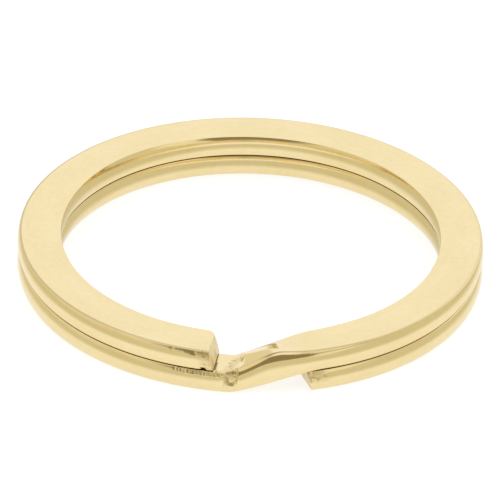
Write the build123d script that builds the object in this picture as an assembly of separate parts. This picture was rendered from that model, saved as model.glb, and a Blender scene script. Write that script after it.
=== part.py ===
from build123d import *
import os
from math import cos, degrees, pi, radians, sin, tan

# A flat split key ring: one length of flat wire wound nearly twice round, one turn lying on the
# other, with a pressed step at the front that lifts the wire from the lower turn to the upper.
# The origin is the ring's centre on the face it rests on, +Z is up and -Y is the front.
# Lengths are in millimetres. Distances along the wire are measured round its middle circle,
# anticlockwise from the foot of the step unless the name says otherwise.

# The wire
outside_diameter = 30.0  # over the crowned outer rims
wire_width = 2.86  # between the crowns of the upper turn's rims
lower_inset_inside = 0.11  # the lower turn's inner rim stands this far back
lower_inset_outside = 0.034  # and its outer rim this far
wire_thickness = 1.43
turn_gap = 0.045  # daylight between the two turns
rim_crown = 0.12  # how far a rim bulges between its own corners
outer_flare = 0.04  # the outer rim's top corner stands this much wider than its lower one
inner_flare = 0.1  # the same for the inner rim
top_rounding = 0.06  # where the top face meets a rim
bottom_rounding = 0.12  # where the underside meets a rim

# The step
foot_angle = 266.23  # degrees from +X to the crease at the foot of the step
inner_climb = 5.5  # the top face's inner edge climbs over this distance
outer_climb = 3.3  # its outer edge climbs over this distance
underside_climb = 4.5
inner_first_slope = 1.3  # how steeply each of the three starts, 1 being its own average
outer_first_slope = 0.75
underside_first_slope = 0.9
fold_begin = 0.42  # the fold across the top face begins this far on
fold_reach = 3.42  # and has died away here
fold_start = 0.63  # the fold's line runs this far out from the inner edge at the foot
fold_drift = 0.4  # and drifts outwards by this much for each millimetre
fold_fade = 4.8  # its line is back in the middle this far either side of its highest place
fold_inmost = 0.3  # the line keeps between these two shares of the face's width
fold_outmost = 0.86
fold_lift = 0.24  # the fold stands this much proud of the face
crest_distance = 2.82  # from the foot on to the crest of the step
crest_lift = 0.05  # the outer edge stands this much proud there
crest_drop = 0.21  # extra fall of the rounded outer corner there
crest_run = 0.1  # extra breadth of that corner
crest_length = 2.0  # half the length over which the corner is fuller
neck_depth = 0.2  # the wire is drawn in this much on its inner side at the step
neck_before = 3.08  # where the neck starts, ahead of the foot
neck_after = 8.0  # where the wire has its full width again

# The two sheared ends
upper_end_setback = 1.2  # from the foot back to the upper end
lower_end_clearance = 0.1  # from the end of the underside's climb to the lower end
shear_lean = 13.0  # degrees by which a sheared end leans along the wire
end_rounding = 0.1  # rolled edge round each sheared end

# Marks left by the press
dent_radius = 0.42  # round mark in the rim at the foot of the step, open at the top face
dent_depth = 0.14
dent_sink = 0.36  # the mark's centre lies this far below the lower turn's top face
chip_width = 0.42  # small chip under the rim of the upper end
chip_height = 0.3
chip_depth = 0.25
chip_setback = 0.6  # from the upper end back to the chip

outer_radius = outside_diameter / 2
inner_radius = outer_radius - wire_width
middle_radius = (outer_radius + inner_radius) / 2
step_rise = wire_thickness + turn_gap
lower_end_distance = underside_climb + lower_end_clearance


def angle_at(distance):
    """The angle, in degrees from +X, of a place this far along the middle circle from the foot."""
    return foot_angle + degrees(distance / middle_radius)


def hermite_climb(distance, length, first_slope):
    """Height from 0 to 1 over a length; first_slope is how steeply it starts, level at the end."""
    u = min(max(distance / length, 0.0), 1.0)
    return first_slope * u * (1 - u) ** 2 + u * u * (3 - 2 * u)


def hump(distance, half_length):
    """A smooth bump that is 1 in its middle and 0 from half_length on."""
    u = min(abs(distance) / half_length, 1.0)
    return 1 - u * u * (3 - 2 * u)


def insets_at(distance):
    """How far the inner and the outer rim stand back at this distance from the foot."""
    still_lower = hump(max(distance, 0.0), neck_after)
    neck = neck_depth * hump(distance, neck_before if distance < 0 else neck_after)
    return lower_inset_inside * still_lower + neck, lower_inset_outside * still_lower


def fold_share_at(distance):
    """How far across the top face the fold runs, halfway where there is no fold."""
    share = (fold_start + fold_drift * distance) / wire_width
    near = hump(distance - fold_reach / 2, fold_fade)
    return 0.5 + (min(max(share, fold_inmost), fold_outmost) - 0.5) * near


def fold_lift_at(distance):
    """How far the fold stands proud of the top face at this distance from the foot."""
    begun = 1 - hump(max(distance - fold_begin, 0.0), fold_start)
    left = hump(max(distance - fold_reach / 2, 0.0), fold_reach / 2)
    return fold_lift * begun * left


def rim_reach(flare):
    """How far a rim's crown stands out past its own lower corner."""
    return rim_crown + flare / 2 + flare**2 / (16 * rim_crown)


def wire_outline(insets, low, outer_high, inner_high, outer_drop, outer_run, fold_share, fold):
    """The wire's cross-section in radius and height, with crowned rims and rounded corners."""
    inner_low = inner_radius + insets[0] + rim_reach(inner_flare)
    inner_top = inner_low - inner_flare
    outer_low = outer_radius - insets[1] - rim_reach(outer_flare)
    outer_top = outer_low + outer_flare

    inner_foot = (inner_low, low + bottom_rounding)
    inner_head = (inner_top, inner_high - top_rounding)
    outer_foot = (outer_low, low + bottom_rounding)
    outer_head = (outer_top, outer_high - outer_drop)
    inner_crown = ((inner_low + inner_top) / 2 - rim_crown, (inner_foot[1] + inner_head[1]) / 2)
    outer_crown = ((outer_low + outer_top) / 2 + rim_crown, (outer_foot[1] + outer_head[1]) / 2)

    half_rim = (wire_thickness - top_rounding - bottom_rounding) / 2
    low_in = (inner_low + bottom_rounding * (2 * rim_crown + inner_flare / 2) / half_rim, low)
    low_out = (outer_low - bottom_rounding * (2 * rim_crown + outer_flare / 2) / half_rim, low)
    high_in = (inner_top + top_rounding * (2 * rim_crown - inner_flare / 2) / half_rim, inner_high)
    high_out = (outer_top - outer_drop * (2 * rim_crown - outer_flare / 2) / half_rim, outer_high)

    flat_low_in = (low_in[0] + bottom_rounding, low)
    flat_low_out = (low_out[0] - bottom_rounding, low)
    flat_high_in = (high_in[0] + top_rounding, inner_high)
    flat_high_out = (high_out[0] - top_rounding - outer_run, outer_high)
    fold_radius = flat_high_in[0] + (flat_high_out[0] - flat_high_in[0]) * fold_share
    fold_height = inner_high + (outer_high - inner_high) * fold_share + fold
    fold_ridge = (fold_radius, fold_height)

    return [
        Line(flat_low_in, flat_low_out),
        Bezier(flat_low_out, low_out, outer_foot),
        ThreePointArc(outer_foot, outer_crown, outer_head),
        Bezier(outer_head, high_out, flat_high_out),
        Line(flat_high_out, fold_ridge),
        Line(fold_ridge, flat_high_in),
        Bezier(flat_high_in, high_in, inner_head),
        ThreePointArc(inner_head, inner_crown, inner_foot),
        Bezier(inner_foot, low_in, flat_low_in),
    ]


def slice_plane(angle):
    """The upright plane through the ring's axis at this angle, with X outwards and Y up."""
    a = radians(angle)
    return Plane(origin=(0, 0, 0), x_dir=(cos(a), sin(a), 0), z_dir=(sin(a), -cos(a), 0))


def step_slice(distance):
    """The section at this distance from the foot, along the neck and the step."""
    crest = hump(distance - crest_distance, crest_length)
    low = step_rise * hermite_climb(distance, underside_climb, underside_first_slope)
    inner_rise = step_rise * hermite_climb(distance, inner_climb, inner_first_slope)
    outer_rise = step_rise * hermite_climb(distance, outer_climb, outer_first_slope)
    inner_high = wire_thickness + inner_rise
    outer_high = wire_thickness + outer_rise + crest_lift * crest
    drop = top_rounding + crest_drop * crest
    run = crest_run * crest
    share = fold_share_at(distance)
    lift = fold_lift_at(distance)
    outline = wire_outline(insets_at(distance), low, outer_high, inner_high, drop, run, share, lift)
    return slice_plane(angle_at(distance)) * make_face(outline)


def lofted_stretch(start, end, slices):
    """Wire through the sections between two distances, closest together near the foot."""
    spread = [(k / slices) ** 1.3 for k in range(slices + 1)]
    if end == 0:
        spread = [1 - share for share in reversed(spread)]
    return loft([step_slice(start + (end - start) * share) for share in spread])


def level_stretch(insets, base, start, end):
    """Wire of the plain section, its lower face at this height, between two distances."""
    top = base + wire_thickness
    section = make_face(wire_outline(insets, base, top, top, top_rounding, 0, 0.5, 0))
    upright = slice_plane(angle_at(start)) * section
    return revolve(upright, Axis.Z, degrees((end - start) / middle_radius))


def end_frame(distance, height):
    """A frame on the middle circle: X outwards, Y anticlockwise along the wire, Z up."""
    angle = angle_at(distance)
    a = radians(angle)
    return Location((middle_radius * cos(a), middle_radius * sin(a), height), (0, 0, angle))


def shear_off(stretch, distance, height, side):
    """Trim a stretch along the leaning plane at this distance and roll the new edge round."""
    frame = end_frame(distance, height) * Rot(shear_lean, 0, 0)
    waste = Box(2 * wire_width, wire_width, 3 * wire_thickness)
    trimmed = stretch - frame * Pos(0, side * wire_width / 2, 0) * waste
    cut_face = trimmed.faces().sort_by_distance(frame.position)[0]
    return fillet(cut_face.edges(), end_rounding)


full_turn = 2 * pi * middle_radius
spare = wire_thickness * tan(radians(shear_lean))
upper_end_distance = full_turn - upper_end_setback

lower_insets = (lower_inset_inside, lower_inset_outside)
lower = level_stretch(lower_insets, 0, lower_end_distance - spare, full_turn - neck_before)
upper = level_stretch((0, 0), step_rise, neck_after, upper_end_distance + spare)
lower = shear_off(lower, lower_end_distance, wire_thickness / 2, -1)
upper = shear_off(upper, upper_end_distance, step_rise + wire_thickness / 2, 1)
neck = lofted_stretch(-neck_before, 0, 6)
step = lofted_stretch(0, neck_after, 16)

dent_at = end_frame(0, wire_thickness - dent_sink)
dent_at *= Pos(wire_width / 2 - rim_crown - dent_depth, 0, 0)
dent = dent_at * extrude(Plane.YZ * Circle(dent_radius), wire_width)

chip_at = end_frame(-upper_end_setback - chip_setback, step_rise)
chip_at *= Pos(wire_width / 2 - rim_crown - chip_depth, 0, 0)
chip_outline = Polygon((-chip_width / 2, 0), (chip_width / 2, 0), (0, chip_height), align=None)
chip = chip_at * extrude(Plane.YZ * chip_outline, wire_width)

wire = lower + neck + step + (upper - chip) - dent

os.makedirs("parts", exist_ok=True)
export_step(wire, "parts/ring_wire.step")
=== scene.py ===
import math

import bpy
from bpy.props import FloatProperty, FloatVectorProperty, PointerProperty
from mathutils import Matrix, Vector


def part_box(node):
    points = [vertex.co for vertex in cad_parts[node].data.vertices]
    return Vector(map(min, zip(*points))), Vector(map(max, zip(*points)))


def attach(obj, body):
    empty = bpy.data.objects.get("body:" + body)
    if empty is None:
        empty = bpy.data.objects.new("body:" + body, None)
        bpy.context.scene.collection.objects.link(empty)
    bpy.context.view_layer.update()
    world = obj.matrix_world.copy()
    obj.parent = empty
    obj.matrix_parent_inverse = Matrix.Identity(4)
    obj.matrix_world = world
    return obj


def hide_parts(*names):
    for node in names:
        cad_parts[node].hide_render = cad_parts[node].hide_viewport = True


bl_info = {
    "name": "Flat split key ring",
    "version": (1, 0, 0),
    "blender": (4, 5, 0),
    "location": "3D View > Sidebar > Key Ring",
    "description": "Winds a flat split key ring from polished wire and sets it on a plain stage",
    "category": "Object",
}

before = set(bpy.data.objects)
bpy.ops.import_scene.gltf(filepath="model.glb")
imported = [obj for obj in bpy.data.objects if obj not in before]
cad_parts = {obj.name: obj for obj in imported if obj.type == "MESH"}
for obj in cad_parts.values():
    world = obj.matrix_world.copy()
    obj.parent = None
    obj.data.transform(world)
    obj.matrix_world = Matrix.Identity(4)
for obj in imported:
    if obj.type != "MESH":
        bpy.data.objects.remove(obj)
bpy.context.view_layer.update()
NODE = "ring_wire"
LOW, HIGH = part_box(NODE)
MM = 0.001


# --- Sizes, finishes and the stage ---------------------------------------------------------


def length(name, description, millimetres):
    """A length property, kept in metres."""
    return FloatProperty(
        name=name, description=description, default=millimetres * MM, unit="LENGTH", precision=5
    )


def colour(name, description, rgb):
    """A colour property in linear red, green and blue."""
    return FloatVectorProperty(
        name=name, description=description, default=rgb, subtype="COLOR", size=3, min=0, max=1
    )


class WireSizes(bpy.types.PropertyGroup):
    """The wire, the step pressed in it and its two sheared ends."""

    outside_diameter: FloatProperty(
        name="Outside diameter", description="Over the crowned outer rims",
        default=2 * min(HIGH.x, -LOW.x), unit="LENGTH",
    )
    wire_width: length("Wire width", "Between the crowns of the upper turn's rims", 2.86)
    lower_inset_inside: length("Lower inset inside", "The lower turn's inner rim stands back", 0.11)
    lower_inset_outside: length("Lower inset outside", "Its outer rim stands back", 0.04)
    wire_thickness: length("Wire thickness", "Between the two flat faces", 1.43)
    turn_gap: length("Turn gap", "Daylight between the two turns", 0.045)
    rim_crown: length("Rim crown", "How far a rim bulges between its own corners", 0.12)
    outer_flare: length("Outer flare", "The outer rim's top corner stands this much wider", 0.04)
    inner_flare: length("Inner flare", "The inner rim's top corner stands this much wider", 0.10)
    top_rounding: length("Top rounding", "Where the top face meets a rim", 0.05)
    bottom_rounding: length("Bottom rounding", "Where the underside meets a rim", 0.12)
    back_lean: length("Back lean", "The inner rim's top leans back this much behind", 0.12)

    foot_angle: FloatProperty(
        name="Foot angle", description="From +X to the crease at the foot of the step",
        default=math.radians(266.23), subtype="ANGLE",
    )
    inner_climb: length("Inner climb", "The top face's inner edge climbs over this distance", 5.5)
    outer_climb: length("Outer climb", "Its outer edge climbs over this distance", 3.45)
    outer_lead: length("Outer lead", "The outer edge starts this far ahead of the foot", 0.45)
    underside_climb: length("Underside climb", "The underside climbs over this distance", 5.7)
    fold_lift: length("Fold lift", "The fold across the top face stands this much proud", 0.24)
    fold_begin: length("Fold begin", "The fold begins this far on from the foot", 0.42)
    fold_start: length("Fold start", "Its line's distance from the inner edge at the foot", 0.39)
    fold_drift: FloatProperty(
        name="Fold drift", description="How fast the fold drifts outwards as it climbs",
        default=0.75,
    )
    fold_reach: length("Fold reach", "The fold has died away this far on", 3.42)
    crest_distance: length("Crest distance", "From the foot on to the fullest outer corner", 2.7)
    crest_lift: length("Crest lift", "The outer edge stands this much proud there", 0.04)
    crest_length: length("Crest length", "Half the length over which it does", 2.0)
    bevel: length("Bevel", "Breadth of the flat along the outer top corner at the step", 0.24)
    bevel_least: length("Bevel elsewhere", "Breadth of that flat round the rest of the front", 0.05)
    bevel_end: length("Bevel end", "The broad bevel fades into the narrow one up to here", 9.0)
    facet: length("Facet", "Breadth of the steeper flat under that bevel", 0.1)
    facet_step: length("Facet at the step", "How much broader that flat is on the step", 0.09)
    facet_crest: length("Facet crest", "How much broader again below the crest", 0.11)
    neck_depth: length("Neck depth", "How far the wire is drawn in at the step", 0.2)
    neck_before: length("Neck before", "Where the neck starts, ahead of the foot", 3.08)
    neck_after: length("Neck after", "Where the wire has its full width again", 8.0)

    upper_setback: length("Upper end setback", "From the foot back to the upper end", 1.2)
    lower_distance: length("Lower end distance", "From the foot on to the lower end", 4.45)
    shear_lean: FloatProperty(
        name="Shear lean", description="How far a sheared end leans along the wire",
        default=math.radians(13.0), subtype="ANGLE",
    )
    end_rounding: length("End rounding", "Rolled edge round each sheared end", 0.1)
    end_press: length("End press", "The lower end's top face is pressed down by this much", 0.03)
    end_press_length: length("End press length", "Where that starts, from the lower end on", 3.0)
    end_skew: length("End skew", "The lower end is cut back by this much across the wire", 0.2)
    end_turn: length("End turn", "The upper end's inner corner is rounded by this in plan", 0.6)
    end_roll: length("End roll", "The upper end's outer corner is rolled over this much", 0.04)
    end_roll_length: length("End roll length", "Where that roll starts, ahead of the end", 1.3)

    pit_width: length("Pit width", "The pit pressed in the rim at the foot", 0.74)
    pit_depth: length("Pit depth", "Its depth in the rim", 0.14)
    pit_height: length("Pit height", "From the top face down to its rounded bottom", 0.8)
    chip_width: length("Chip width", "The chip under the rim of the upper end", 0.5)
    chip_depth: length("Chip depth", "Its depth in the rim", 0.22)
    chip_height: length("Chip height", "How far up the rim it reaches", 0.32)
    chip_setback: length("Chip setback", "From the upper end back to the chip", 0.6)
    nick_depth: length("Nick depth", "Of the small nicks along the top corner", 0.035)
    chatter_pitch: length("Chatter pitch", "Of the tool marks beside the foot", 0.2)
    chatter_depth: length("Chatter depth", "Of those marks", 0.045)


class Finish(bpy.types.PropertyGroup):
    """The polished metal."""

    metal: colour("Metal", "Face-on colour of the polished metal", (0.94, 0.79, 0.47))
    # Dark colour for the painted shade between the turns and along the bevel, and for stains
    shade_and_stain: colour("Film", "Dull dark film between the turns", (0.34, 0.27, 0.13))
    worked: colour("Worked metal", "Where the press scuffed it", (0.90, 0.75, 0.43))
    sheared: colour("Sheared metal", "The torn faces of the two ends", (0.90, 0.78, 0.50))
    roughness: FloatProperty(
        name="Roughness", description="Of the polished faces", default=0.09, min=0, max=1
    )
    streaks: length("Streaks", "Height of the drawing lines along the wire", 0.0012)
    scuffs: length("Scuffs", "Height of the marks where the metal was worked", 0.02)


class StageSettings(bpy.types.PropertyGroup):
    """Floor, light and camera."""

    floor_size: length("Floor size", "Side of the square floor", 1200)
    floor: colour("Floor", "Pale floor", (0.42, 0.42, 0.42))
    floor_glow: FloatProperty(
        name="Floor glow", description="Lifts the floor to white for the camera", default=0.72
    )
    # Painted reflection: the pale floor's colour as only polished metal sees it
    floor_mirrored: colour(
        "Floor mirrored", "The pale floor as the metal mirrors it", (1.0, 0.985, 0.93)
    )
    # Painted reflection: the studio that only polished metal sees; these colours light nothing
    lit: colour("Lit side", "Overhead and behind the ring", (0.98, 0.98, 0.98))
    surround: colour("Surround", "The dimmer walls on the camera's side", (0.70, 0.66, 0.51))
    surround_left: colour("Surround left", "The wall far to the left", (0.79, 0.75, 0.62))
    right_strip: colour("Right strip", "Bright strip right of the camera", (0.92, 0.87, 0.72))
    left_strip: colour("Left strip", "Bright strip left of the camera", (0.84, 0.77, 0.60))
    gap: colour("Gap", "The dark gap in the light at the camera", (0.27, 0.22, 0.13))
    camera_distance: length("Camera distance", "From the ring's centre", 600)
    camera_height: FloatProperty(
        name="Camera elevation", description="Above the floor", default=math.radians(31.017),
        subtype="ANGLE",
    )
    camera_roll: FloatProperty(
        name="Camera roll", description="Turn about the line of sight",
        default=math.radians(1.7), subtype="ANGLE",
    )
    lens: FloatProperty(
        name="Lens", description="Focal length", default=0.6698, unit="LENGTH"
    )
    aim_up: length("Aim up", "The line of sight passes this far above the ring's centre", 1.443)
    aim_left: length("Aim left", "The line of sight passes this far left of it", 0.024)


# --- Arithmetic in node trees --------------------------------------------------------------


class Field:
    """A socket of a node tree that can be reckoned with: each operation adds a Math node."""

    def __init__(self, tree, socket):
        self.tree = tree
        self.socket = socket

    def math(self, operation, *others, clamp=False):
        node = self.tree.nodes.new("ShaderNodeMath")
        node.operation = operation
        node.use_clamp = clamp
        for slot, value in zip(node.inputs, (self, *others)):
            feed(self.tree, slot, value)
        return Field(self.tree, node.outputs[0])

    def __add__(self, other):
        return self.math("ADD", other)

    def __sub__(self, other):
        return self.math("SUBTRACT", other)

    def __rsub__(self, other):
        return (self * -1) + other

    def __mul__(self, other):
        return self.math("MULTIPLY", other)

    def __truediv__(self, other):
        return self.math("DIVIDE", other)

    __radd__ = __add__
    __rmul__ = __mul__

    def share_of(self, whole):
        """How far along a length this is, held between 0 and 1."""
        return self.math("DIVIDE", whole, clamp=True)

    def towards(self, other, share):
        """The value this share of the way from here to another."""
        return self + (other - self) * share


def feed(tree, slot, value):
    """Gives a node's input a value, or links it to another node's output."""
    if isinstance(value, Field):
        tree.links.new(value.socket, slot)
    elif isinstance(value, bpy.types.NodeSocket):
        tree.links.new(value, slot)
    else:
        slot.default_value = value


def node(tree, kind, settings=None, **inputs):
    """A new node with its settings, its inputs given by name with spaces as underscores."""
    made = tree.nodes.new(kind)
    for key, value in (settings or {}).items():
        setattr(made, key, value)
    for name, value in inputs.items():
        feed(tree, made.inputs[name.replace("_", " ")], value)
    return made


def smooth(u):
    """An even S-curve from 0 to 1, for a share between 0 and 1."""
    return u * u * (3 - 2 * u)


def climb(distance, over, first_slope):
    """Height from 0 to 1 over a length; first_slope is how steeply it starts, level at the end."""
    u = distance.share_of(over)
    rest = 1 - u
    return u * rest * rest * first_slope + smooth(u)


def ramp(value, start, end):
    """A smooth share that rises from 0 at start to 1 at end."""
    made = node(
        value.tree, "ShaderNodeMapRange", {"interpolation_type": "SMOOTHSTEP"},
        Value=value, From_Min=start, From_Max=end,
    )
    return Field(value.tree, made.outputs["Result"])


def window(value, start, full, fade, end):
    """A share that is 1 between full and fade, and 0 outside start and end."""
    return ramp(value, start, full) * (1 - ramp(value, fade, end))


def tint(tree, share, first, second):
    """A colour this share of the way from the first to the second."""
    made = node(tree, "ShaderNodeMix", {"data_type": "RGBA"})
    feed(tree, made.inputs["Factor"], share)
    for slot, value in ((made.inputs[6], first), (made.inputs[7], second)):
        feed(tree, slot, value if isinstance(value, bpy.types.NodeSocket) else (*value, 1.0))
    return made.outputs[2]


# --- The wire's section and line -----------------------------------------------------------

CORNER_SHARES = (0.0, 0.18, 0.35, 0.5, 0.64, 0.78, 0.92, 1.0)
BEVEL_SHARE, FACET_SHARE = 0.64, 0.92
RIM_STEPS = 14
TOP_SHARES = (0.0, 0.12, 0.26, 0.38, 0.44, 0.5, 0.56, 0.62, 0.74, 0.88)
UNDERSIDE_SHARES = (0.0, 0.25, 0.5, 0.75)
PULLS = ("bevel_down", "bevel_in", "facet_down", "facet_in", "inner_lean")

# How closely the line is divided, and the stretches where that changes.
FOOT_PITCH, STEP_PITCH, END_PITCH, PLAIN_PITCH = 0.035 * MM, 0.07 * MM, 0.05 * MM, 0.28 * MM
FOOT_FROM, FOOT_TO, STEP_TO = -3.6 * MM, 1.4 * MM, 6.5 * MM
NEAR_END = 2.5 * MM
ROLL_STEPS = 5


def rim_reach(crown, flare):
    """How far a rim's crown stands out past its own lower corner."""
    return crown + flare / 2 + flare**2 / (16 * crown)


def section_points(sizes):
    """Points round the wire's section, each a row of radius, height, across and five pulls.

    Radius runs from 0 at the inner rim's crown to the wire's width, height from 0 to its
    thickness. Across runs from 0 on the inner rim to 1 on the outer one. The pulls say how far
    a point goes down and inwards for the bevel on the outer top corner, the same for the
    steeper facet below it, and how far it leans back with the top of the inner rim."""
    width, thickness = sizes.wire_width, sizes.wire_thickness
    crown = sizes.rim_crown
    low, high = sizes.bottom_rounding, thickness - sizes.top_rounding
    half_rim = (high - low) / 2
    inner_low = rim_reach(crown, sizes.inner_flare)
    outer_low = width - rim_reach(crown, sizes.outer_flare)

    def rim_radius(outer, v):
        """The rim's radius at v, which runs from -1 at its lower corner to 1 at its upper one."""
        if outer:
            return outer_low + crown * (1 - v * v) + sizes.outer_flare * (1 + v) / 2
        return inner_low - crown * (1 - v * v) - sizes.inner_flare * (1 + v) / 2

    def knee_radius(outer, top):
        """Where the rim's line would meet the flat face."""
        v = 1 if top else -1
        corner = sizes.top_rounding if top else sizes.bottom_rounding
        flare = sizes.outer_flare if outer else sizes.inner_flare
        cut = corner * (2 * crown - v * flare / 2) / half_rim
        return rim_radius(outer, v) - cut if outer else rim_radius(outer, v) + cut

    def flat_end(outer, top):
        """Where the flat face ends and the rounded corner starts."""
        corner = sizes.top_rounding if top else sizes.bottom_rounding
        return knee_radius(outer, top) + (-corner if outer else corner)

    def pulls(outer, top, down, sideways):
        """The five pulls of a point that goes with the whole top corner on its side."""
        if not top:
            return (0.0,) * 5
        return (down, sideways, down, sideways, 0.0) if outer else (0.0, 0.0, 0.0, 0.0, sideways)

    def corner_curve(outer, top):
        """A rounded corner, from the flat face to the rim."""
        face = thickness if top else 0.0
        start = (flat_end(outer, top), face)
        knee = (knee_radius(outer, top), face)
        end = (rim_radius(outer, 1 if top else -1), high if top else low)
        for u in CORNER_SHARES:
            a, b, c = (1 - u) ** 2, 2 * u * (1 - u), u * u
            point = [a * start[k] + b * knee[k] + c * end[k] for k in (0, 1)]
            place = (*point, float(outer))
            if not (outer and top):
                yield (*place, *pulls(outer, top, 0.0, 1.0))
                continue
            past_bevel, past_facet = u > BEVEL_SHARE, u > FACET_SHARE
            bevel = (1.0, 0.0) if past_bevel else (0.0, 1.0)
            facet = (1.0, 0.0) if past_facet else (0.0, 1.0)
            yield (*place, *bevel, *facet, 0.0)
            if u == BEVEL_SHARE:
                yield (*place, 0.5, 0.5, *facet, 0.0)
                yield (*place, 1.0, 0.0, *facet, 0.0)
            if u == FACET_SHARE:
                yield (*place, *bevel, 0.5, 0.5, 0.0)
                yield (*place, *bevel, 1.0, 0.0, 0.0)

    def rim_curve(outer):
        """A crowned rim, from its lower corner to its upper one."""
        for k in range(RIM_STEPS + 1):
            v = 2 * k / RIM_STEPS - 1
            down = (1 + v) / 2
            place = (rim_radius(outer, v), low + down * (high - low))
            lean = 0.0 if outer else (1 + v) / 2
            yield (*place, float(outer), *pulls(outer, True, down if outer else 0.0, lean))

    def flat(top):
        """A flat face, from its inner corner to its outer one."""
        face = thickness if top else 0.0
        start, end = flat_end(False, top), flat_end(True, top)
        for share in (*(TOP_SHARES if top else UNDERSIDE_SHARES), 1.0):
            sideways = (0.0, share, 0.0, share, 1 - share) if top else (0.0,) * 5
            yield (start + (end - start) * share, face, share, *sideways)

    stretches = [
        list(flat(False)),
        list(corner_curve(True, False)),
        list(rim_curve(True)),
        list(corner_curve(True, True))[::-1],
        list(flat(True))[::-1],
        list(corner_curve(False, True)),
        list(rim_curve(False))[::-1],
        list(corner_curve(False, False))[::-1],
    ]
    return [point for stretch in stretches for point in stretch[:-1]]


def line_with_attributes(name, points, closed, attributes):
    """A chain of edges through points, with a named number on each point."""
    mesh = bpy.data.meshes.new(name)
    edges = [(k, k + 1) for k in range(len(points) - 1)]
    if closed:
        edges.append((len(points) - 1, 0))
    mesh.from_pydata(points, edges, [])
    for key, values in attributes.items():
        mesh.attributes.new(key, "FLOAT", "POINT").data.foreach_set("value", values)
    made = bpy.data.objects.new(name, mesh)
    bpy.context.scene.collection.objects.link(made)
    return made


def wire_section(sizes):
    """The section as a closed line, each point knowing its place and its outward direction."""
    rows = section_points(sizes)
    count = len(rows)
    across, up = [], []
    for k in range(count):
        before, after = rows[k - 2], rows[(k + 2) % count]
        run = Vector((after[0] - before[0], after[1] - before[1])).normalized()
        across.append(run.y)
        up.append(-run.x)
    attributes = {
        "from_inside": [row[0] for row in rows],
        "from_below": [row[1] for row in rows],
        "across": [row[2] for row in rows],
        **{key: [row[3 + k] for row in rows] for k, key in enumerate(PULLS)},
        "out_across": across,
        "out_up": up,
    }
    places = [(row[0], row[1], 0.0) for row in rows]
    return line_with_attributes("wire_section", places, True, attributes)


def wire_distances(sizes):
    """Distances along the wire's middle from the foot of the step, from the lower end to the
    upper one, close together round the ends and the step."""
    middle = (sizes.outside_diameter - sizes.wire_width) / 2
    full_turn = 2 * math.pi * middle
    lower_end = sizes.lower_distance - full_turn
    upper_end = full_turn - sizes.upper_setback
    roll = sizes.end_rounding
    rolled = [roll * (1 - math.cos(math.pi / 2 * k / ROLL_STEPS)) for k in range(ROLL_STEPS)]

    distances = [lower_end + inset for inset in rolled]
    stretches = [
        (lower_end + roll, lower_end + NEAR_END, END_PITCH),
        (lower_end + NEAR_END, FOOT_FROM, PLAIN_PITCH),
        (FOOT_FROM, FOOT_TO, FOOT_PITCH),
        (FOOT_TO, STEP_TO, STEP_PITCH),
        (STEP_TO, upper_end - NEAR_END, PLAIN_PITCH),
        (upper_end - NEAR_END, upper_end - roll, END_PITCH),
    ]
    for start, end, pitch in stretches:
        count = math.ceil((end - start) / pitch)
        distances += [start + (end - start) * k / count for k in range(count)]
    distances += [upper_end - roll] + [upper_end - inset for inset in reversed(rolled)]
    return distances


def wire_line(sizes):
    """The wire's middle line, laid out straight, each point knowing its distance."""
    distances = wire_distances(sizes)
    places = [(distance, 0.0, 0.0) for distance in distances]
    return line_with_attributes("wire_line", places, False, {"distance": distances})


# --- Winding the wire with Geometry Nodes --------------------------------------------------

TREE_LENGTHS = (
    "outside_diameter", "wire_width", "lower_inset_inside", "lower_inset_outside",
    "wire_thickness", "turn_gap", "back_lean", "inner_climb", "outer_climb", "outer_lead",
    "underside_climb", "fold_lift", "fold_begin", "fold_start", "fold_reach", "crest_distance",
    "crest_lift", "crest_length", "bevel", "bevel_least", "bevel_end", "facet", "facet_step",
    "facet_crest", "neck_depth", "neck_before", "neck_after", "upper_setback",
    "lower_distance", "end_rounding", "end_press", "end_press_length", "end_skew",
    "end_turn", "end_roll", "end_roll_length", "pit_width", "pit_depth", "pit_height",
    "chip_width", "chip_depth", "chip_height", "chip_setback", "nick_depth", "chatter_pitch",
    "chatter_depth",
)
TREE_ANGLES = ("foot_angle", "shear_lean")
TREE_NUMBERS = ("fold_drift",)
TREE_SIZES = TREE_LENGTHS + TREE_ANGLES + TREE_NUMBERS

# The step. A slope is how steeply a climb starts, 1 being its own average.
UNDERSIDE_SLOPE, INNER_SLOPE, OUTER_SLOPE = 1.1, 1.3, 0.27
FOLD_INMOST, FOLD_OUTMOST = 0.3, 0.93  # the fold keeps between these shares of the width
FOLD_FADE = 1.4  # its line is back in the middle after this many times its reach
FOLD_SHIFT = 0.85  # how far points follow the fold sideways, as a share of the width
BEVEL_TILT = math.radians(45)  # of the flat on the outer top corner
STEP_EASE = math.radians(5)  # it lies this much flatter on the step
STEP_SPAN = (0.0, 0.5 * MM, 3.4 * MM, 4.6 * MM)  # where it does
FACET_DOWN, FACET_IN = 0.92, 0.39  # how the facet cuts the corner, downwards and inwards

# The two ends and the back.
LEAN_FADE = 6 * MM  # a sheared end's lean dies away over this length
SKEW_FADE = 3 * MM  # and the lower end's skew over this one
SKEW_PIVOT = 0.4  # the share of the width about which that end is skewed
FRONT_START, FRONT_FULL = -0.2, 0.5  # the front begins this far forward, in radii
OUTER_INSET_BEHIND = 0.2  # the share of the lower turn's outer inset left behind
LOWER_LEAN = 0.6  # the lower turn's share of the back lean
LEFT_LEAN = 1.5  # the upper turn leans this many times more at the back left
BACK_LEFT, BACK_LEFT_SPREAD = math.radians(230), math.radians(50)  # on from the foot

# Tool marks along the outer corner ahead of the foot: start, full, fading and gone.
TEETH_SPAN = (-3.5, -3.1, -0.8, -0.4)


def socket_name(key):
    """The name on the tree's socket for one of the sizes."""
    return key.replace("_", " ").capitalize()


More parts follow.
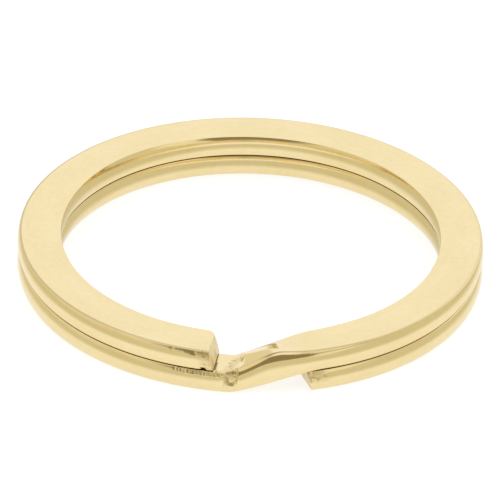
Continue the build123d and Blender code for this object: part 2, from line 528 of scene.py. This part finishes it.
def add_interface(tree, sizes):
    """The tree's sockets: the line, the section, each size by name and the material."""
    sockets = tree.interface
    sockets.new_socket("Geometry", in_out="INPUT", socket_type="NodeSocketGeometry")
    sockets.new_socket("Section", in_out="INPUT", socket_type="NodeSocketObject")
    for key in TREE_SIZES:
        made = sockets.new_socket(socket_name(key), in_out="INPUT", socket_type="NodeSocketFloat")
        if key not in TREE_NUMBERS:
            made.subtype = "ANGLE" if key in TREE_ANGLES else "DISTANCE"
        made.default_value = getattr(sizes, key)
    sockets.new_socket("Material", in_out="INPUT", socket_type="NodeSocketMaterial")
    sockets.new_socket("Geometry", in_out="OUTPUT", socket_type="NodeSocketGeometry")


def read_attribute(tree, name):
    """A named number on the wire's points."""
    made = node(tree, "GeometryNodeInputNamedAttribute", {"data_type": "FLOAT"}, Name=name)
    return Field(tree, made.outputs["Attribute"])


def distances_to_ends(distance, s):
    """How far it is from here to the lower end and to the upper one."""
    middle = (s["outside_diameter"] - s["wire_width"]) / 2
    full_turn = middle * (2 * math.pi)
    return distance - s["lower_distance"] + full_turn, full_turn - s["upper_setback"] - distance


def quarter_round(to_end, radius):
    """How far a surface is drawn in where an end is rounded to this radius."""
    left = 1 - to_end.share_of(radius)
    return radius * (1 - (1 - left * left).math("MAXIMUM", 0.0).math("SQRT"))


def hump(distance, half_length):
    """A smooth bump that is 1 in its middle and 0 from half_length on."""
    return 1 - smooth(distance.math("ABSOLUTE").share_of(half_length))


def fold_share(along, s):
    """How far across the top face the fold runs; it is halfway where there is no fold."""
    share = (s["fold_start"] + along * s["fold_drift"]) / s["wire_width"]
    share = share.math("MAXIMUM", FOLD_INMOST).math("MINIMUM", FOLD_OUTMOST)
    near = hump(along - s["fold_reach"] / 2, s["fold_reach"] * FOLD_FADE)
    return 0.5 + (share - 0.5) * near


def fold_rise(along, across, s):
    """The rise of the top face towards the fold, which fades out on the way up."""
    from_fold = (across - 0.5).math("ABSOLUTE") * 2
    begun = smooth((along - s["fold_begin"]).share_of(s["fold_start"]))
    left = 1 - smooth((along - s["fold_reach"] / 2).share_of(s["fold_reach"] / 2))
    return s["fold_lift"] * (1 - from_fold) * begun * left


def noise_along(value, scale, seed):
    """An even random wave from 0 to 1 along a length, for marks of about this size."""
    made = node(
        value.tree, "ShaderNodeTexNoise", {"noise_dimensions": "1D"},
        W=value / scale + seed, Scale=1.0, Detail=1.0,
    )
    return Field(value.tree, made.outputs["Fac"])


def pit_cut(along, height, s):
    """Depth of the rounded pit that the press left in the rim at the foot."""
    across_pit = (along / (s["pit_width"] / 2)).math("ABSOLUTE")
    floor = s["wire_thickness"] - s["pit_height"] * (1 - across_pit * across_pit * 0.45)
    above = (height - floor).share_of(0.1 * MM)
    inside = 1 - (across_pit - 0.86).share_of(0.14)
    near_lip = hump(along + s["pit_width"] * 0.62, 0.07 * MM)
    far_lip = hump(along + s["pit_width"] * 0.8, 0.06 * MM)
    right_lip = hump(along - s["pit_width"] * 0.56, 0.06 * MM)
    high_up = (height - s["wire_thickness"] * 0.6).share_of(0.2 * MM)
    lips = (near_lip + far_lip + right_lip) * high_up
    return s["pit_depth"] * (above * inside - lips * 0.25)


def chip_cut(to_upper_end, height, s):
    """Depth of the chip under the rim of the upper end."""
    beside = hump(to_upper_end - s["chip_setback"], s["chip_width"] / 2)
    return s["chip_depth"] * beside * (1 - height.share_of(s["chip_height"]))


def corner_nicks(distance, along, to_upper_end, s):
    """Depth of the nicks and tool marks in the outer top corner."""
    worn = ramp(noise_along(distance, 0.5 * MM, 3.0), 0.56, 0.74)
    upper_left = ramp(distance, 48 * MM, 56 * MM)
    dimple = hump(to_upper_end - 0.9 * MM, 0.3 * MM)
    nicks = s["nick_depth"] * (worn * upper_left * 0.15 + dimple * 0.6)
    uneven = noise_along(along, 0.3 * MM, 8.0)
    teeth = ((along / s["chatter_pitch"] + uneven * 1.5).math("FRACT") - 0.5).math("ABSOLUTE") * 2
    beside_foot = window(along, *(edge * MM for edge in TEETH_SPAN))
    return nicks + s["chatter_depth"] * teeth * beside_foot * (0.3 + uneven)


def bevel_breadth(along, to_upper_end, s):
    """Breadth of the flat on the outer top corner: broad on the step, narrow elsewhere."""
    step = ramp(along, 0.0, 0.4 * MM) * (1 - ramp(along, s["crest_distance"], s["bevel_end"]))
    rolled = s["end_roll"] * (1 - smooth(to_upper_end.share_of(s["end_roll_length"])))
    return s["bevel_least"].towards(s["bevel"], step) + rolled


def facet_breadth(along, s):
    """Breadth of the steeper flat under the bevel, broader on the step and most at its crest."""
    step = ramp(along, 0.0, 0.4 * MM) * (1 - ramp(along, 3.4 * MM, 4.9 * MM))
    crest = hump(along - s["crest_distance"], s["crest_length"] * 0.6)
    return s["facet"] + s["facet_step"] * step + s["facet_crest"] * crest


def place_along(distance, radius, height, to_ends, s):
    """Distance along the wire once both ends lean over and the lower one is skewed."""
    to_lower_end, to_end = to_ends
    lean = s["shear_lean"].math("TANGENT") * (1 - smooth(to_end.share_of(LEAN_FADE)))
    skew = s["end_skew"] * (1 - smooth(to_lower_end.share_of(SKEW_FADE)))
    along = distance - (height - s["wire_thickness"] * 0.5) * lean
    return along + skew * (radius / s["wire_width"] - SKEW_PIVOT)


def step_rises(along, across, shifted, s):
    """How far the underside and the top face have risen here with the step."""
    rise = s["wire_thickness"] + s["turn_gap"]
    crest = hump(along - s["crest_distance"], s["crest_length"])
    low = rise * climb(along, s["underside_climb"], UNDERSIDE_SLOPE)
    inner_high = rise * climb(along, s["inner_climb"], INNER_SLOPE)
    outer_high = rise * climb(along + s["outer_lead"], s["outer_climb"], OUTER_SLOPE)
    outer_high = outer_high + s["crest_lift"] * crest
    return low, inner_high.towards(outer_high, shifted) + fold_rise(along, across, s)


def back_lean(angle, upper, s):
    """How far the top of the inner rim leans back behind, most at the upper turn's left."""
    behind = smooth(angle.math("SINE").math("MAXIMUM", 0.0))
    lean = s["back_lean"] * behind * (LOWER_LEAN + upper * (1 - LOWER_LEAN))
    from_left = angle - s["foot_angle"] - BACK_LEFT
    return lean * (1 + hump(from_left, BACK_LEFT_SPREAD) * upper * LEFT_LEAN)


def rim_insets(along, to_upper_end, up, front, s):
    """How far the inner and the outer rim stand in from those of the full upper turn."""
    before = (along * -1).share_of(s["neck_before"])
    after = along.share_of(s["neck_after"])
    lower = 1 - smooth(after)
    neck = s["neck_depth"] * (1 - smooth(before.math("MAXIMUM", after)))
    turned = quarter_round(to_upper_end, s["end_turn"]) * up
    shown = OUTER_INSET_BEHIND + front * (1 - OUTER_INSET_BEHIND)
    inner = neck + s["lower_inset_inside"] * lower + turned
    return inner, s["lower_inset_outside"] * lower * shown


def wound_place(tree, s):
    """Where each point of the straight wire goes once it is wound and pressed."""
    distance = read_attribute(tree, "distance")
    to_lower_end, to_upper_end = distances_to_ends(distance, s)
    to_end = to_lower_end.math("MINIMUM", to_upper_end)
    rolled = quarter_round(to_end, s["end_rounding"])
    radius = read_attribute(tree, "from_inside") - read_attribute(tree, "out_across") * rolled
    height = read_attribute(tree, "from_below") - read_attribute(tree, "out_up") * rolled
    across = read_attribute(tree, "across")
    bevel_down, bevel_in, facet_down, facet_in, inner_lean = (
        read_attribute(tree, name) for name in PULLS
    )
    up = height / s["wire_thickness"]
    width = s["wire_width"]
    along = place_along(distance, radius, height, (to_lower_end, to_end), s)
    angle = s["foot_angle"] + along / ((s["outside_diameter"] - width) / 2)

    fold = fold_share(along, s)
    inner_part = (across * 2).math("MINIMUM", 1.0) * fold
    outer_part = (across * 2 - 1).math("MAXIMUM", 0.0) * (1 - fold)
    shifted = across.towards(inner_part + outer_part, up)
    radius = radius + (shifted - across) * width * FOLD_SHIFT
    low, high = step_rises(along, across, shifted, s)

    front = ramp(angle.math("SINE") * -1, FRONT_START, FRONT_FULL)
    bevel = bevel_breadth(along, to_upper_end, s) * front
    facet = facet_breadth(along, s) * front
    tilt = BEVEL_TILT - window(along, *STEP_SPAN) * STEP_EASE
    rim = (across - 0.99).share_of(0.01)
    near_corner = (height - s["wire_thickness"] + 0.2 * MM).share_of(0.15 * MM) * rim
    nicks = corner_nicks(distance, along, to_upper_end, s) * near_corner
    pressed = s["end_press"] * (1 - smooth(to_lower_end.share_of(s["end_press_length"])))
    drop = bevel * bevel_down * tilt.math("SINE") + facet * facet_down * FACET_DOWN + nicks
    z = height + low.towards(high, up) - (drop + pressed * up)

    cut = pit_cut(along, height, s) + chip_cut(to_upper_end, height, s) + nicks
    run = bevel * bevel_in * tilt.math("COSINE") + facet * facet_in * FACET_IN + cut * rim
    upper = smooth(along.share_of(s["neck_after"]))
    lean = back_lean(angle, upper, s) * inner_lean
    inner_inset, outer_inset = rim_insets(along, to_upper_end, up, front, s)
    inner_share = 1 - radius / width
    reach = s["outside_diameter"] / 2 - width + radius + lean - run
    reach = reach + inner_inset * inner_share - outer_inset * (1 - inner_share)
    place = node(
        tree, "ShaderNodeCombineXYZ",
        X=reach * angle.math("COSINE"), Y=reach * angle.math("SINE"), Z=z,
    )
    return place.outputs[0]


def winding_tree(sizes):
    """The node tree that sweeps the section along the line and winds it into the ring."""
    tree = bpy.data.node_groups.new("Wound wire", "GeometryNodeTree")
    add_interface(tree, sizes)
    given = tree.nodes.new("NodeGroupInput")
    s = {key: Field(tree, given.outputs[socket_name(key)]) for key in TREE_SIZES}
    section = node(tree, "GeometryNodeObjectInfo", Object=given.outputs["Section"])
    line = node(tree, "GeometryNodeMeshToCurve", Mesh=given.outputs["Geometry"])
    outline = node(tree, "GeometryNodeMeshToCurve", Mesh=section.outputs["Geometry"])
    sweep = node(
        tree, "GeometryNodeCurveToMesh",
        Curve=line.outputs["Curve"], Profile_Curve=outline.outputs["Curve"], Fill_Caps=True,
    )
    outward = node(tree, "GeometryNodeFlipFaces", Mesh=sweep.outputs["Mesh"])
    wound = node(
        tree, "GeometryNodeSetPosition",
        Geometry=outward.outputs["Mesh"], Position=wound_place(tree, s),
    )
    soft = node(
        tree, "GeometryNodeSetShadeSmooth",
        Geometry=wound.outputs["Geometry"], Shade_Smooth=True,
    )
    real = node(tree, "GeometryNodeRealizeInstances", Geometry=soft.outputs["Geometry"])
    painted = node(
        tree, "GeometryNodeSetMaterial",
        Geometry=real.outputs["Geometry"], Material=given.outputs["Material"],
    )
    result = tree.nodes.new("NodeGroupOutput")
    tree.links.new(painted.outputs["Geometry"], result.inputs["Geometry"])
    return tree


def socket_identifier(tree, name):
    """The identifier by which a modifier knows one of the tree's inputs."""
    for item in tree.interface.items_tree:
        if item.item_type == "SOCKET" and item.in_out == "INPUT" and item.name == name:
            return item.identifier
    raise RuntimeError(f"the tree has no input named {name}")


def wind(sizes, material):
    """The finished ring as a plain mesh object."""
    line = wire_line(sizes)
    section = wire_section(sizes)
    tree = winding_tree(sizes)
    modifier = line.modifiers.new("Wind", "NODES")
    modifier.node_group = tree
    modifier[socket_identifier(tree, "Section")] = section
    modifier[socket_identifier(tree, "Material")] = material
    for key in TREE_SIZES:
        modifier[socket_identifier(tree, socket_name(key))] = float(getattr(sizes, key))

    evaluated = line.evaluated_get(bpy.context.evaluated_depsgraph_get())
    mesh = bpy.data.meshes.new_from_object(evaluated)
    if not mesh.polygons:
        raise RuntimeError("the winding tree gave no faces")
    line.modifiers.remove(modifier)
    ring = bpy.data.objects.new("split_ring", mesh)
    bpy.context.scene.collection.objects.link(ring)
    for helper in (line, section):
        bpy.data.objects.remove(helper)
    return ring


# --- Materials -----------------------------------------------------------------------------


def shown_attributes(tree, *names):
    """Numbers that the winding left on the ring's points, for its material."""
    made = [node(tree, "ShaderNodeAttribute", {"attribute_name": name}) for name in names]
    return [Field(tree, each.outputs["Fac"]) for each in made]


def wire_position(tree):
    """Place on the wire: millimetres along it, out from its inner rim and up, and its across."""
    names = ("distance", "from_inside", "from_below", "across")
    along, inside, below, across = shown_attributes(tree, *names)
    return along / MM, inside / MM, below / MM, across


def stretched_noise(tree, place, spread, detail=3.0):
    """Noise from 0 to 1 with marks of these breadths along, out and up."""
    scaled = [axis / breadth for axis, breadth in zip(place, spread)]
    vector = node(tree, "ShaderNodeCombineXYZ", X=scaled[0], Y=scaled[1], Z=scaled[2])
    made = node(tree, "ShaderNodeTexNoise", Vector=vector.outputs[0], Scale=1.0, Detail=detail)
    return Field(tree, made.outputs["Fac"])


def worked_places(along, across, below, sizes):
    """Where the press scuffed the metal, and where shearing tore it at the two ends."""
    rim = ramp(across, 0.97, 1.0)
    pit = window(along, -0.5, -0.4, 0.32, 0.42) * ramp(below, 0.5, 0.6) * rim
    from_crease = along - 0.35 + across * 0.85
    crease = window(from_crease, -0.25, -0.05, 0.35, 0.9) * ramp(across, 0.2, 0.5)
    crease = crease * ramp(below, 1.3, 1.4)
    full_turn = (sizes.outside_diameter - sizes.wire_width) / MM * math.pi
    from_lower = along + (full_turn - sizes.lower_distance / MM)
    lower_end = (1 - ramp(from_lower, 0.7, 1.5)) * rim * ramp(below, 0.62, 0.8)
    from_upper = full_turn - sizes.upper_setback / MM - along
    upper_end = (1 - ramp(from_upper, 0.3, 0.9)) * rim
    teeth = window(along, *TEETH_SPAN) * rim * ramp(below, 1.2, 1.3)
    places = pit
    for other in (crease, lower_end, upper_end, teeth):
        places = places.math("MAXIMUM", other)
    to_end = from_lower.math("MINIMUM", from_upper)
    return places, 1 - ramp(to_end, 0.0, 0.05)


def painted_shade_between_turns(along, across, below, sizes):
    """Where shade is painted: on the faces that look at each other, and a spot by the upper end."""
    thickness = sizes.wire_thickness / MM
    flat = window(across, 0.0, 0.02, 0.98, 1.0)
    under = ramp(below, thickness - 0.06, thickness - 0.02) * (1 - ramp(along, -1.3, -1.15))
    over = (1 - ramp(below, 0.03, 0.1)) * ramp(along, 4.4, 4.8)
    shade_spot = window(along, -1.2, -1.1, -0.98, -0.9) * window(across, 0.5, 0.6, 0.9, 0.97)
    under = flat * under.math("MAXIMUM", shade_spot * ramp(below, 1.3, 1.38))
    return under.math("MAXIMUM", over)


def painted_corner_shade(tree, along):
    """Thin rougher lines at the upper and the lower edge of the pressed bevel, darkened as painted
    shade.
    """
    names = ("bevel_in", "bevel_down", "facet_down")
    bevel_in, bevel_down, facet_down = shown_attributes(tree, *names)
    upper = ramp(bevel_in, 0.965, 0.985) * (1 - ramp(bevel_down, 0.0, 0.3)) * (1 - facet_down)
    upper = upper * (window(along, 1.2, 2.0, 7.5, 10.0) + ramp(along, 44, 56)).math("MAXIMUM", 0.35)
    lower = ramp(bevel_down, 0.7, 0.9) * (1 - ramp(facet_down, 0.1, 0.3))
    lower = lower * window(along, 4.2, 4.8, 7.5, 9.5)
    return upper.math("MAXIMUM", lower)


def polished_metal(finish, sizes):
    """Pale gold, polished along the wire, scuffed where it was pressed and torn at its ends."""
    material = bpy.data.materials.new("Polished pale gold")
    material.use_nodes = True
    tree = material.node_tree
    shader = tree.nodes["Principled BSDF"]
    along, inside, below, across = wire_position(tree)
    place = (along, inside, below)

    cloud = stretched_noise(tree, place, (3.5, 1.6, 1.6))
    speckle = stretched_noise(tree, place, (0.5, 0.35, 0.35))
    lines = stretched_noise(tree, place, (7.0, 0.09, 0.09))
    broad_lines = stretched_noise(tree, place, (9.0, 0.4, 0.22), 2.0)
    upright = stretched_noise(tree, place, (0.06, 1.5, 1.5), 2.0)
    scratch = stretched_noise(tree, (along + inside * 2.5, inside, below), (2.2, 0.035, 0.3), 1.0)
    grit = stretched_noise(tree, place, (0.13, 0.13, 0.13))
    drag = stretched_noise(tree, place, (0.1, 0.35, 0.35))
    upright_drag = stretched_noise(tree, place, (0.4, 0.22, 1.4), 2.0)

    worked, sheared = worked_places(along, across, below, sizes)
    worked = (worked * ramp(speckle + grit * 0.5, 0.42, 0.75)).math("MAXIMUM", worked * 0.35)
    # Painted shade: darkens the faces between the turns and a spot by the upper end
    shade_and_stain = painted_shade_between_turns(along, across, below, sizes)
    # Painted shade along the edges of the pressed bevel, which is also rougher there
    line = painted_corner_shade(tree, along)
    worn = ramp(scratch, 0.70, 0.76)
    rim = ramp((across - 0.5).math("ABSOLUTE") * 2, 0.97, 1.0)

    stained = stretched_noise(tree, place, (0.25, 0.3, 0.3))
    mixed = ramp(cloud, 0.3, 0.7) * 0.6 + ramp(speckle, 0.35, 0.65) * 0.4
    pale = tuple(min(part * 1.02, 1.0) for part in finish.metal)
    deep = (finish.metal[0] * 0.97, finish.metal[1] * 0.955, finish.metal[2] * 0.90)
    base = tint(tree, mixed, deep, pale)
    # Painted shade along the bevel's edges
    base = tint(tree, line * 0.45, base, finish.shade_and_stain)
    base = tint(tree, worked * 0.8, base, finish.worked)
    base = tint(tree, worked * ramp(stained, 0.5, 0.68) * 0.6, base, finish.shade_and_stain)
    base = tint(tree, sheared * 0.8, base, finish.sheared)
    base = tint(tree, sheared * ramp(upright_drag, 0.45, 0.7) * 0.55, base, finish.shade_and_stain)
    # Painted shade between the turns and beside the upper end
    base = tint(tree, shade_and_stain * 0.9, base, finish.shade_and_stain)

    rough = finish.roughness + ramp(lines, 0.4, 0.7) * 0.03 + ramp(cloud, 0.5, 0.8) * 0.02
    rough = rough + worn * 0.1 + worked * 0.22 + line * 0.1
    rough = rough.math("MAXIMUM", sheared * 0.42).math("MAXIMUM", shade_and_stain * 0.5)

    height = lines * 0.5 + broad_lines * 1.6 + upright * rim * 0.35 - worn * 0.6
    height = height * finish.streaks
    height = height + (grit * worked * 0.5 + drag * (worked + sheared * 2)) * finish.scuffs
    bump = node(tree, "ShaderNodeBump", Height=height, Strength=1.0, Distance=1.0)

    feed(tree, shader.inputs["Base Color"], base)
    shader.inputs["Metallic"].default_value = 1.0
    feed(tree, shader.inputs["Roughness"], rough)
    feed(tree, shader.inputs["Normal"], bump.outputs["Normal"])
    return material


# --- The stage ------------------------------------------------------------------------------


# Painted reflection: the floor that polished metal sees glows, painted dim out from the ring's
# centre, behind it, and where it is seen at a flat angle, which has to be flatter by the ease
# further out.
DIM_OUT, DIM_BEHIND, DIM_GRAZING = (11 * MM, 16 * MM), (0.0, 4 * MM), (0.30, 0.60)
EASE_OUT, GRAZING_EASE = (12 * MM, 14 * MM), 0.2
MIRRORED_GLOW = 0.8  # the share of it that glows, the rest being lit and shaded

# Painted reflection: the studio that only polished metal sees, in degrees: start, full, fading
# and gone. Sideways counts to the right of the camera's side, and upwards from the horizon.
WALL_SIDES, WALL_TOP = (-150, -136, 112, 138), (52, 66)
WALL_TURN, WALL_TURN_UP = 13, (8, 22)  # the walls stand this much further left higher up
LEFT_WALL_END = (-75, -60)
STRIP_UP, RIGHT_STRIP, LEFT_STRIP = (3, 8, 48, 60), (19.5, 22.5, 36, 44), (-56, -47, -38, -31)
GAP_UP, GAP_SIDES = (2, 7, 50, 58), (-33, -18, 18.5, 21.5)
NARROWING, NARROWING_UP = 0.35, (4, 14)  # strips and gap narrow by this share low down


def make_floor(stage):
    """A pale floor that takes the ring's shadow, mirrored by metal in painted colours of its own.
    """
    half = stage.floor_size / 2
    corners = [(-half, -half, 0), (half, -half, 0), (half, half, 0), (-half, half, 0)]
    mesh = bpy.data.meshes.new("floor")
    mesh.from_pydata(corners, [], [(0, 1, 2, 3)])
    floor = bpy.data.objects.new("floor", mesh)
    bpy.context.scene.collection.objects.link(floor)

    material = bpy.data.materials.new("Pale floor")
    material.use_nodes = True
    tree = material.node_tree
    tree.nodes.clear()
    lit = node(tree, "ShaderNodeBsdfDiffuse", Color=(*stage.floor, 1.0))
    glow = node(tree, "ShaderNodeEmission", Color=(1, 1, 1, 1), Strength=stage.floor_glow)
    seen = node(tree, "ShaderNodeAddShader")
    tree.links.new(lit.outputs[0], seen.inputs[0])
    tree.links.new(glow.outputs[0], seen.inputs[1])

    facing = Field(tree, node(tree, "ShaderNodeLayerWeight", Blend=0.5).outputs["Facing"])
    place = node(tree, "ShaderNodeTexCoord").outputs["Object"]
    from_centre = node(tree, "ShaderNodeVectorMath", {"operation": "LENGTH"}, Vector=place)
    reach = Field(tree, from_centre.outputs["Value"])
    behind = Field(tree, node(tree, "ShaderNodeSeparateXYZ", Vector=place).outputs["Y"])
    dim = ramp(reach, *DIM_OUT).math("MAXIMUM", ramp(behind, *DIM_BEHIND))
    grazing = ramp(facing - ramp(reach, *EASE_OUT) * GRAZING_EASE, *DIM_GRAZING)
    # Painted reflection: glossy rays alone see the floor glow, dimmed in bands for the rims
    painted_reflection = tint(tree, grazing * dim, stage.floor_mirrored, stage.surround)
    matt = node(tree, "ShaderNodeBsdfDiffuse", Color=painted_reflection)
    bright = node(tree, "ShaderNodeEmission", Color=painted_reflection, Strength=1.0)
    shaded = node(tree, "ShaderNodeMixShader", Fac=MIRRORED_GLOW)
    tree.links.new(matt.outputs[0], shaded.inputs[1])
    tree.links.new(bright.outputs[0], shaded.inputs[2])

    light_path = tree.nodes.new("ShaderNodeLightPath")
    for_camera = node(tree, "ShaderNodeMixShader", Fac=light_path.outputs["Is Camera Ray"])
    tree.links.new(lit.outputs[0], for_camera.inputs[1])
    tree.links.new(seen.outputs[0], for_camera.inputs[2])
    for_gloss = node(tree, "ShaderNodeMixShader", Fac=light_path.outputs["Is Glossy Ray"])
    tree.links.new(for_camera.outputs[0], for_gloss.inputs[1])
    tree.links.new(shaded.outputs[0], for_gloss.inputs[2])
    output = node(tree, "ShaderNodeOutputMaterial")
    tree.links.new(for_gloss.outputs[0], output.inputs["Surface"])
    floor.data.materials.append(material)


def make_world(stage):
    """A white world; metal alone mirrors painted dim walls, two strips and a dark gap."""
    world = bpy.data.worlds.new("Studio")
    bpy.context.scene.world = world
    world.use_nodes = True
    tree = world.node_tree
    background = tree.nodes["Background"]
    direction = node(tree, "ShaderNodeTexCoord").outputs["Generated"]
    parts = node(tree, "ShaderNodeSeparateXYZ", Vector=direction)
    x, y, z = (Field(tree, parts.outputs[axis]) for axis in "XYZ")
    to_degrees = 180 / math.pi
    elevation = z.math("ARCSINE") * to_degrees
    azimuth = x.math("ARCTAN2", y * -1) * to_degrees

    turned = azimuth + ramp(elevation, *WALL_TURN_UP) * WALL_TURN
    sides = window(turned, *WALL_SIDES) * (1 - ramp(elevation, *WALL_TOP))
    walls = tint(tree, ramp(azimuth, *LEFT_WALL_END), stage.surround_left, stage.surround)
    painted_studio = tint(tree, sides, stage.lit, walls)
    narrowed = azimuth * (1 - ramp(elevation, *NARROWING_UP) * NARROWING)
    beside = window(elevation, *STRIP_UP)
    painted_studio = tint(tree, beside * window(narrowed, *RIGHT_STRIP), painted_studio, stage.right_strip)
    painted_studio = tint(tree, beside * window(narrowed, *LEFT_STRIP), painted_studio, stage.left_strip)
    gap = window(elevation, *GAP_UP) * window(narrowed, *GAP_SIDES)
    painted_studio = tint(tree, gap, painted_studio, stage.gap)

    light_path = tree.nodes.new("ShaderNodeLightPath")
    glossy = Field(tree, light_path.outputs["Is Glossy Ray"])
    # Glossy rays alone see the painted reflection of the studio; all other rays see white
    feed(tree, background.inputs["Color"], tint(tree, glossy, (1.0, 1.0, 1.0), painted_studio))
    background.inputs["Strength"].default_value = 1.0


def make_camera(stage):
    """The camera, looking down at the ring from the front."""
    data = bpy.data.cameras.new("camera")
    data.sensor_width = 36.0
    data.lens = stage.lens / MM
    data.clip_start = 0.01
    data.clip_end = 10.0
    camera = bpy.data.objects.new("camera", data)
    bpy.context.scene.collection.objects.link(camera)
    bpy.context.scene.camera = camera

    tilt = stage.camera_height
    back = Vector((0, -math.cos(tilt), math.sin(tilt)))
    up = Vector((0, math.sin(tilt), math.cos(tilt)))
    camera.location = back * stage.camera_distance + up * stage.aim_up
    camera.location.x -= stage.aim_left
    camera.rotation_euler = back.to_track_quat("Z", "Y").to_euler()
    camera.rotation_euler.rotate_axis("Z", stage.camera_roll)


# --- Operators -----------------------------------------------------------------------------


class KEYRING_OT_wire(bpy.types.Operator):
    """Wind the polished wire into the split ring"""

    bl_idname = "keyring.wind_wire"
    bl_label = "Wind the Wire"

    def execute(self, context):
        scene = context.scene
        ring = wind(scene.keyring_sizes, polished_metal(scene.keyring_finish, scene.keyring_sizes))
        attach(ring, "root")
        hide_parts(NODE)
        return {"FINISHED"}


class KEYRING_OT_stage(bpy.types.Operator):
    """Set the floor, the light and the camera"""

    bl_idname = "keyring.set_stage"
    bl_label = "Set the Stage"

    def execute(self, context):
        stage = context.scene.keyring_stage
        make_floor(stage)
        make_world(stage)
        make_camera(stage)
        context.scene.view_settings.view_transform = "Standard"
        return {"FINISHED"}


class KEYRING_PT_panel(bpy.types.Panel):
    """Lists the sizes, the finish and the stage"""

    bl_idname = "KEYRING_PT_panel"
    bl_label = "Key Ring"
    bl_space_type = "VIEW_3D"
    bl_region_type = "UI"
    bl_category = "Key Ring"

    def draw(self, context):
        scene = context.scene
        for group in (scene.keyring_sizes, scene.keyring_finish, scene.keyring_stage):
            column = self.layout.column(align=True)
            for key in group.__annotations__:
                column.prop(group, key)
        for operator in OPERATORS:
            self.layout.operator(operator.bl_idname)


GROUPS = {"keyring_sizes": WireSizes, "keyring_finish": Finish, "keyring_stage": StageSettings}
OPERATORS = (KEYRING_OT_wire, KEYRING_OT_stage)
CLASSES = (*GROUPS.values(), *OPERATORS, KEYRING_PT_panel)


def register():
    for cls in CLASSES:
        bpy.utils.register_class(cls)
    for name, group in GROUPS.items():
        setattr(bpy.types.Scene, name, PointerProperty(type=group))


def unregister():
    for name in GROUPS:
        delattr(bpy.types.Scene, name)
    for cls in reversed(CLASSES):
        bpy.utils.unregister_class(cls)


def main():
    register()
    bpy.ops.keyring.set_stage()
    bpy.ops.keyring.wind_wire()


if __name__ == "__main__":
    main()
